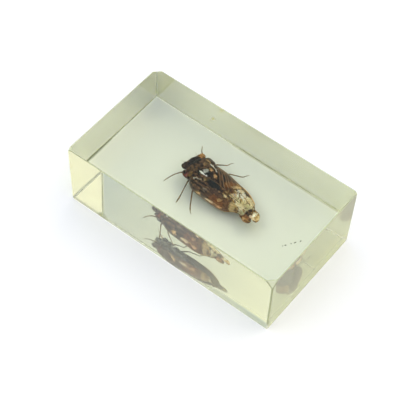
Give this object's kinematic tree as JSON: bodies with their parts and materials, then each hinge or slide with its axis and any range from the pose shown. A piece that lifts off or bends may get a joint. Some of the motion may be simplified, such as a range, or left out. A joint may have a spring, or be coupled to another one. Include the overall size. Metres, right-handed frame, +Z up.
{
  "type": "insect in resin block",
  "caption": "Clear rectangular resin block with a brown cicada sealed in its middle, for a desk or a teaching collection.",
  "frame": {"origin": "middle of the block's underside", "axes": "+X along the block's length, towards the cicada's tail; +Y across the block, away from the picture's viewer; +Z up through the top face"},
  "size_m": [0.073, 0.0402, 0.0237],
  "materials": {
    "clear_resin": "polished, clear, faintly yellow-green",
    "cicada_brown": "dark brown insect shell with mottled wings"
  },
  "bodies": {
    "root": {"resin_upper_half": "clear_resin", "resin_lower_half": "clear_resin", "cicada": "cicada_brown"}
  },
  "joints": []
}
